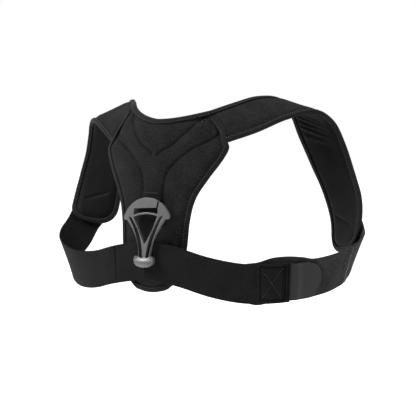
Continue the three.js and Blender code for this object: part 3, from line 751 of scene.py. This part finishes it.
# Share of a belt's thickness at a distance from its edge
def rounded(distance, radius, least=0.25):
    near = np.clip(distance / radius, 0, 1)
    return least + (1 - least) * np.sqrt(np.clip(1 - (1 - near) ** 2, 0, 1))


beltGrid = dict(girth=54, crowdAlong=0.04, crowdAcross=0.4, edgeRadius=1.0, waveScale=0.022)


# A belt between two places of its path; extra(s, t, w) lifts its faces
def beltPiece(name, node, path, side, start, end, material, halfOf=None, thickness=None, lift=0,
              extra=None, wave=0.0, step=1.6):
    thickness = thickness or beltSize["thickness"]
    halfOf = halfOf or (lambda s: np.full(len(s), beltSize["width"] / 2))
    steps = int(abs(end - start) / step)

    def spots(u, v):
        s = (start + end) / 2 + (end - start) / 2 * crowded(2 * v - 1, beltGrid["crowdAlong"])
        return s, halfOf(s) * crowded(2 * u - 1, beltGrid["crowdAcross"])

    def place(u, v, w):
        s, t = spots(u, v)
        fromEdge = np.minimum(halfOf(s) - np.abs(t), np.minimum(np.abs(s - start), np.abs(end - s)))
        thick = thickness / 2 * rounded(fromEdge, beltGrid["edgeRadius"])
        h = lift + (2 * w - 1) * thick
        if extra:
            h = h + extra(s, t, w)
        places = np.stack([s, t, np.full(len(s), side * 50.0)], axis=1)
        return path.point(s, t, h + lumps(places, beltGrid["waveScale"], 9) * wave, side)

    def cloth(u, v):
        s, t = spots(u, v)
        return clothCoordinates(s, t)

    obj = closedSheet(name, int(beltGrid["girth"] / step), steps, place, cloth, [material])
    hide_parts(node)


def pathRun(path, side, start, end, lift):
    spots = evenly(np.array([start, end], float), 0.8)
    return path.point(spots[:, 0], spots[:, 1], np.full(len(spots), lift), side)


beltEdge = beltSize["width"] / 2
frontStart = tabSize["length"] - tabSize["lap"]
# Stitched box on the folded end of the front belt
box = dict(near=8, far=35, margin=4.5, layer=1.1, layerEnd=37, layerFade=1.5, dent=0.6, dentWidth=1.2,
           endWidth=1.1, sunk=0.35)
# Seams across the folded end: place from the belt's end, depth of the dent, and how far the thread lies
# below the box's threads
endSeams = [(2.2, 0.9, 0.2), (5.6, 1.2, 0.4)]


# How near places are to a straight line between two places, as a share that fades over the width
def nearLine(s, t, line, width):
    (s0, t0), (s1, t1) = line
    length = math.hypot(s1 - s0, t1 - t0)
    f = np.clip(((s - s0) * (s1 - s0) + (t - t0) * (t1 - t0)) / length ** 2, 0, 1)
    return ridge(np.hypot(s - s0 - f * (s1 - s0), t - t0 - f * (t1 - t0)), width)


boxLow, boxHigh = frontStart + box["near"], frontStart + box["far"]
boxReach = beltEdge - box["margin"]
nearLow, nearHigh, farLow, farHigh = [(s, t) for s in (boxLow, boxHigh) for t in (-boxReach, boxReach)]
boxLines = [(nearLow, farLow), (nearHigh, farHigh), (nearLow, nearHigh), (farLow, farHigh),
            (nearLow, farHigh), (nearHigh, farLow)]


# The belt is folded back under the stitched box, and drawn in along its seams
def foldedEnd(s, t, w):
    lift = box["layer"] * (1 - smooth((s - frontStart - box["layerEnd"]) / box["layerFade"]))
    for line in boxLines:
        lift = lift - box["dent"] * nearLine(s, t, line, box["dentWidth"])
    for place, depth, _ in endSeams:
        lift = lift - depth * ridge(s - frontStart - place, box["endWidth"])
    return np.where(w > 0.5, lift, 0)


# Cross seams of the left and the right belt
leftSeamSize = dict(place=leftBeltPath.length - 64, slant=0.12, depth=0.7, width=1.2)
rightSeamSize = dict(place=87, slant=0.1, height=1.1, rise=1.2, full=6, fade=8, dent=0.5, dentAt=3.2,
                     dentWidth=0.8)


def leftSeam(s, t, w):
    line = s - leftSeamSize["place"] + leftSeamSize["slant"] * (t + beltEdge)
    return -leftSeamSize["depth"] * ridge(line, leftSeamSize["width"]) * (w > 0.5)


# The brushed face of the right belt ends in a raised seam near the strap
def rightSeam(s, t, w):
    line = s - rightSeamSize["place"] + rightSeamSize["slant"] * t
    rising = smooth((line + 1) / rightSeamSize["rise"])
    falling = smooth((line - rightSeamSize["full"]) / rightSeamSize["fade"])
    dent = rightSeamSize["dent"] * ridge(line - rightSeamSize["dentAt"], rightSeamSize["dentWidth"])
    return (rightSeamSize["height"] * rising * (1 - falling) - dent) * (w > 0.5)


beltPiece("beltFront", "belt_front", frontBeltPath, 1, frontStart, frontBeltPath.length, elasticWeb,
          extra=foldedEnd, wave=0.4, step=0.8)
beltPiece("beltLeft", "belt_left", leftBeltPath, -1, 0, leftBeltPath.length, elasticWeb,
          extra=leftSeam, wave=0.9, step=1.2)
beltPiece("beltRight", "belt_right", rightBeltPath, 1, 0, rightBeltPath.length, brushedWeb,
          halfOf=lambda s: rightBeltPath.at(s)[4] / 2, extra=rightSeam, wave=0.6, step=1.2)


# The tab comes out from under the belt's end and bulges past it; its edge is a little raised
tabShape = dict(flatness=0.92, power=2.3, swell=2.4, swellBack=8, swellWidth=5.5, rim=0.3, rimInset=0.8,
                rimWidth=0.7)


def tabHalf(s):
    past = np.clip(tabSize["round"] - s, 0, None) / tabSize["round"]
    share = np.sqrt(np.clip(1 - tabShape["flatness"] * past ** tabShape["power"], 0, 1))
    return (beltEdge - tabSize["narrower"]) * share


def tabBulge(s, t, w):
    swell = tabShape["swell"] * ridge(s - frontStart + tabShape["swellBack"], tabShape["swellWidth"])
    rim = 0
    for fromEdge in (tabHalf(s) - np.abs(t), s):
        rim = rim + tabShape["rim"] * ridge(fromEdge - tabShape["rimInset"], tabShape["rimWidth"])
    return swell + rim * (w > 0.5)


tabLift = -(beltSize["thickness"] / 2 + edgeSize["clearance"] + tabSize["thickness"] / 2)
beltPiece("hookTab", "hook_tab", frontBeltPath, 1, 0, tabSize["length"], tabCloth,
          halfOf=tabHalf, thickness=tabSize["thickness"], lift=tabLift, extra=tabBulge,
          step=0.8)


# A seam across a belt, from a place at its lower edge to one at its upper edge
def crossRun(path, side, lower, upper, inset, lift):
    return pathRun(path, side, (lower, -beltEdge + inset), (upper, beltEdge - inset), lift)


beltTop = beltSize["thickness"] / 2
boxTop = beltTop + box["layer"] - box["sunk"]
boxRuns = [pathRun(frontBeltPath, 1, *line, boxTop) for line in boxLines]
stitches("crossStitches", boxRuns[4:], radius=0.3)
foldRuns = []
for place, below in [(seam[0], seam[2]) for seam in endSeams] + [(box["layerEnd"] + box["layerFade"], 1)]:
    foldRuns.append(crossRun(frontBeltPath, 1, frontStart + place, frontStart + place, 2.5, boxTop - below))
# The box's outline and the seams across the fold are near-black thread over the real seams, painted shade of
# the dents they lie in
stitches("frontBeltStitchesPaintedShade", boxRuns[:4] + foldRuns, gap=0.3, radius=0.42, material=threadPaintedShade)
seamPlace = leftSeamSize["place"]
leftRun = crossRun(leftBeltPath, -1, seamPlace, seamPlace - 5.5, 1, beltTop - 0.4)
# The left belt's cross seam is near-black thread over the real seam, painted shade of its dent
stitches("leftBeltStitchesPaintedShade", [leftRun], gap=0.3, radius=0.5, material=threadPaintedShade)
seamPlace = rightSeamSize["place"]
rightRun = crossRun(rightBeltPath, 1, seamPlace + 5.5, seamPlace + 1, 2, beltTop + 0.7)
stitches("rightBeltStitches", [rightRun], gap=0.6, radius=0.5, material=paleThread)
print("belts made")


# Cloth loop of the buckle

slotUp = buckleSize["foot"] + buckleSize["height"] - buckleSize["bar"] - buckleSize["slot"] / 2


def padFace(b):
    off = padSize["thickness"] / 2 + edgeSize["clearance"] + loopSize["thickness"] / 2 + loopSize["off"]
    return padPoint([0], [b], [off])[0, 1]


# Rows of the loop from its top: how far up from the slot, and its depth; it stands out from the pad there
loopReach = buckleSize["slot"] * 0.35
loopRows = [(17, padFace(slotUp + 17)), (8, padFace(slotUp + 8) - 0.4), (loopReach, padFace(slotUp) - 2),
            (0, padFace(slotUp) - 3.6), (-loopReach, padFace(slotUp) - 2), (-9, padFace(slotUp - 9)),
            (-16, padFace(slotUp - 16))]
loopWidth = buckleSize["slotWidth"] - 2 * loopSize["slack"] - loopSize["narrower"]
loopPath = Band([([0, depth, slotUp + up], [1, 0, 0], loopWidth) for up, depth in loopRows])
beltPiece("buckleLoop", "buckle_loop", loopPath, 1, 0, loopPath.length, elasticWeb,
          halfOf=lambda s: np.full(len(s), loopWidth / 2), thickness=loopSize["thickness"])

zigzag = dict(up=10, half=12, rise=2.2, step=2.7, off=0.55)
xs = np.arange(-zigzag["half"], zigzag["half"] + 0.1, zigzag["step"])
zs = zigzag["up"] + zigzag["rise"] * (np.arange(len(xs)) % 2)
zigzagLift = padSize["thickness"] / 2 + zigzag["off"]
zigzagRuns = [padPoint(xs[i:i + 2], zs[i:i + 2], [zigzagLift] * 2) for i in range(len(xs) - 1)]
stitches("loopStitches", zigzagRuns, length=2.2, gap=0.4, radius=0.5)


# Buckle

def quadratic(a, b, c, steps=14):
    t = np.linspace(0, 1, steps)[:, None]
    a, b, c = (np.array(p, float) for p in (a, b, c))
    return (a * (1 - t) ** 2 + 2 * b * t * (1 - t) + c * t * t).tolist()


def mirrored(points):
    return points + [[-x, y] for x, y in points[::-1]]


def buckleOutline():
    half, neck, under = buckleSize["width"] / 2, 8.7, -5
    earUp = buckleSize["height"] * 0.66
    centre = buckleSize["height"] - half * 1.02
    armTop, earTip = (half - 5.5, earUp), (half - 0.4, earUp + 4)
    right = quadratic((4.5, under), (neck, under), (neck, 0), 6)
    right += quadratic((neck, 0), (7.4, 21), armTop, 26)[1:]
    right += quadratic(armTop, (half - 0.5, earUp - 2.5), earTip, 10)[1:]
    start = math.atan2(earTip[1] - centre, earTip[0])
    radius = math.hypot(earTip[1] - centre, earTip[0])
    for k in range(1, 25):
        angle = start + (math.pi / 2 - start) * k / 25
        right.append([radius * math.cos(angle), centre + radius * math.sin(angle)])
    return mirrored(right)


# The slot of the cloth loop, the middle window, a long slot in each arm and the nick in the arch
def buckleHoles():
    slotTop = buckleSize["height"] - buckleSize["bar"]
    slotLow = slotTop - buckleSize["slot"]
    half = buckleSize["slotWidth"] / 2
    clothSlot = (quadratic((-half, slotLow - 0.7), (0, slotLow + 5), (half, slotLow - 0.7))
                 + [[half - 0.5, slotTop], [-half + 0.5, slotTop]])
    windowTop, windowFoot, windowHalf = slotLow - 3, 15.3, half - 0.4
    window = (quadratic((0, windowFoot), (8.9, 29), (windowHalf, windowTop))
              + quadratic((windowHalf, windowTop), (0, windowTop + 6), (-windowHalf, windowTop))[1:]
              + quadratic((-windowHalf, windowTop), (-8.9, 29), (0, windowFoot))[1:-1])
    holes = [clothSlot, window]
    for side in (-1, 1):
        near = quadratic((side * 2.6, -2.5), (side * 3.3, 25), (side * 21.4, 48.5))
        far = quadratic((side * 25.8, 50), (side * 9.1, 24), (side * 6.9, -2.5))
        holes.append(near + far)
    holes.append([[17.6, 58], [20.9, 73], [18.2, 73], [15.5, 58]])
    return holes


def knobOutline():
    half, low = buckleSize["knobWidth"] / 2, -buckleSize["knobHeight"]
    widest, shoulder, dip = (half, low * 0.36), (half * 0.72, 0.8), (0, -1.8)
    right = quadratic((0, low), (half * 0.9, low + 0.5), widest, 12)
    right += quadratic(widest, (half, 0.8), shoulder, 8)[1:]
    right += quadratic(shoulder, (half * 0.36, -1.8), dip, 8)[1:-1]
    return mirrored(right)


def evaluated(obj):
    bpy.context.view_layer.update()
    return bpy.data.meshes.new_from_object(obj.evaluated_get(bpy.context.evaluated_depsgraph_get()))


# A flat plate along an outline, for the buckle's body and for the tools that shape it
def plate(outline, depth, raised):
    curve = bpy.data.curves.new("plate", "CURVE")
    curve.dimensions = "2D"
    curve.fill_mode = "BOTH"
    curve.extrude = depth / 2
    spline = curve.splines.new("POLY")
    spline.points.add(len(outline) - 1)
    for point, (x, y) in zip(spline.points, outline):
        point.co = (x, y, 0, 1)
    spline.use_cyclic_u = True
    flat = linked("plate", curve)
    mesh = evaluated(flat)
    bpy.data.objects.remove(flat)
    bm = bmesh.new()
    bm.from_mesh(mesh)
    bmesh.ops.remove_doubles(bm, verts=bm.verts, dist=0.001)
    bmesh.ops.translate(bm, verts=bm.verts, vec=(0, 0, depth / 2 + raised))
    bmesh.ops.recalc_face_normals(bm, faces=bm.faces)
    bm.to_mesh(mesh)
    bm.free()
    return linked("plate", mesh)


def withTool(obj, tool, operation):
    modifier = obj.modifiers.new("cut", "BOOLEAN")
    modifier.object = tool
    modifier.operation = operation
    modifier.solver = "EXACT"
    mesh = evaluated(obj)
    obj.modifiers.clear()
    obj.data = mesh
    bpy.data.objects.remove(tool)


moulding = dict(voxel=0.36, softening=5)


# An even fine mesh, softened so that every edge comes out rounded
def buckleMesh():
    body = plate(buckleOutline(), buckleSize["plate"], 0)
    for hole in buckleHoles():
        withTool(body, plate(hole, buckleSize["plate"] * 3, -buckleSize["plate"]), "DIFFERENCE")
    withTool(body, plate(knobOutline(), buckleSize["knobDepth"] - 0.5, 0), "UNION")
    remesh = body.modifiers.new("even", "REMESH")
    remesh.mode = "VOXEL"
    remesh.voxel_size = moulding["voxel"]
    soften = body.modifiers.new("soft", "SMOOTH")
    soften.factor = 0.5
    soften.iterations = moulding["softening"]
    mesh = evaluated(body)
    bpy.data.objects.remove(body)
    return mesh


# The arch is domed and sits a little askew, and the knob is a bean with a full face
buckleFace = dict(askew=0.05, askewFrom=30, dome=2.2, domeFall=2.8, domeFrom=0.45, blend=20,
                  knobMiddle=0.58, knobReach=0.52, knobFull=1.5, knobEdge=1.0)


def placedBuckle():
    mesh = buckleMesh()
    count = len(mesh.vertices)
    flat = np.zeros(count * 3)
    mesh.vertices.foreach_get("co", flat)
    x, y, z = flat.reshape(-1, 3).T
    frontShare = np.clip(z / buckleSize["plate"], 0, 2)
    y = y + buckleFace["askew"] * x * smooth((y - buckleFace["askewFrom"]) / buckleFace["blend"])
    arch = smooth((y - buckleSize["height"] * buckleFace["domeFrom"]) / buckleFace["blend"])
    aside = x / (buckleSize["width"] / 2)
    dome = (buckleFace["dome"] - buckleFace["domeFall"] * aside ** 2) * arch
    knobCentre = -buckleSize["knobHeight"] * buckleFace["knobMiddle"]
    knobReach = buckleSize["knobHeight"] * buckleFace["knobReach"]
    radial = (x / (buckleSize["knobWidth"] / 2)) ** 2 + ((y - knobCentre) / knobReach) ** 2
    full, edge = buckleFace["knobFull"], buckleFace["knobEdge"]
    knob = np.where(y < 0.5, full * np.clip(1 - radial, 0, 1) - edge * np.clip(radial, 0, 1), 0)
    z = z + dome * np.clip(frontShare, 0.3, 1) + knob * np.clip(frontShare - 0.4, 0, 1)
    beltFace = backMiddle(beltSize["layer"])[0][1] - beltSize["thickness"] / 2
    plateBack = beltFace - edgeSize["clearance"] - buckleSize["tilt"] * (beltSize["width"] / 2 + 4)
    tilt = Matrix.Rotation(math.pi / 2 - buckleSize["tilt"], 4, "X")
    move = Matrix.Translation((buckleSize["shift"], plateBack, buckleSize["foot"]))
    points = np.stack([x, y, z, np.ones(count)], axis=1) @ np.array(move @ tilt).T
    mesh.vertices.foreach_set("co", (points[:, :3] * mm).ravel())
    mesh.update()
    return mesh


buckle = finished("buckle-body", placedBuckle(), [mouldedPlastic])
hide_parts("buckle")
print("buckle made")


# Floor, light and camera

floorSize = dict(height=-0.42, half=14.0)
view = dict(azimuth=33, elevation=3, distance=1.6, aside=0.0654, lower=0.0074, lens=112.15, sensor=36)


def floorPiece():
    bm = bmesh.new()
    bmesh.ops.create_grid(bm, x_segments=1, y_segments=1, size=floorSize["half"])
    bmesh.ops.translate(bm, verts=bm.verts, vec=(0, 0, floorSize["height"]))
    mesh = bpy.data.meshes.new("floor")
    bm.to_mesh(mesh)
    bm.free()
    material, shader, _, _ = newMaterial("floor")
    shader.inputs["Base Color"].default_value = (0.98, 0.98, 0.98, 1)
    shader.inputs["Roughness"].default_value = 0.9
    shader.inputs["Emission Color"].default_value = (1, 1, 1, 1)
    shader.inputs["Emission Strength"].default_value = 0.4
    mesh.materials.append(material)
    return linked("floor", mesh)


floor = floorPiece()

azimuth, elevation = math.radians(view["azimuth"]), math.radians(view["elevation"])
aside = Vector((math.cos(azimuth), math.sin(azimuth), 0))
nearer = Vector((math.sin(azimuth) * math.cos(elevation), -math.cos(azimuth) * math.cos(elevation),
                 math.sin(elevation)))
upward = nearer.cross(aside)
camera = linked("camera", bpy.data.cameras.new("camera"))
camera.data.lens = view["lens"]
camera.data.sensor_width = view["sensor"]
camera.data.clip_end = 60
turned = Matrix((aside, upward, nearer)).transposed().to_4x4()
stand = nearer * view["distance"] + aside * view["aside"] - upward * view["lower"]
camera.matrix_world = Matrix.Translation(stand) @ turned
bpy.context.scene.camera = camera


def areaLight(name, place, size, watts):
    light = bpy.data.lights.new(name, "AREA")
    light.shape = "RECTANGLE"
    light.size, light.size_y = size
    light.energy = watts
    obj = linked(name, light)
    obj.location = place
    obj.rotation_euler = (Vector((0, 0.03, 0)) - Vector(place)).to_track_quat("-Z", "Y").to_euler()


areaLight("keyLight", (-1.3, -1.3, 1.5), (0.9, 0.9), 120)
areaLight("topLight", (0.2, 0.3, 1.9), (1.4, 1.4), 40)
areaLight("sideLight", (1.7, 0.35, 0.5), (0.5, 1.0), 26)


# The room is white behind the part, and dimmer on the side that it is seen from
def whiteRoom():
    world = bpy.data.worlds.new("world")
    world.use_nodes = True
    make = nodeMaker(world)
    way = make("TexCoord").outputs["Generated"]
    facing = make("VectorMath", {0: way, 1: (nearer.x, nearer.y, 0)}, operation="DOT_PRODUCT")
    dimmed = make("MapRange", {"Value": facing.outputs["Value"], "From Min": -0.1, "From Max": 0.7,
                               "To Min": 1.0, "To Max": 0.45})
    background = world.node_tree.nodes["Background"]
    background.inputs["Color"].default_value = (1, 1, 1, 1)
    world.node_tree.links.new(dimmed.outputs["Result"], background.inputs["Strength"])
    return world


bpy.context.scene.world = whiteRoom()
bpy.context.scene.view_settings.view_transform = "Standard"
print("stage made")
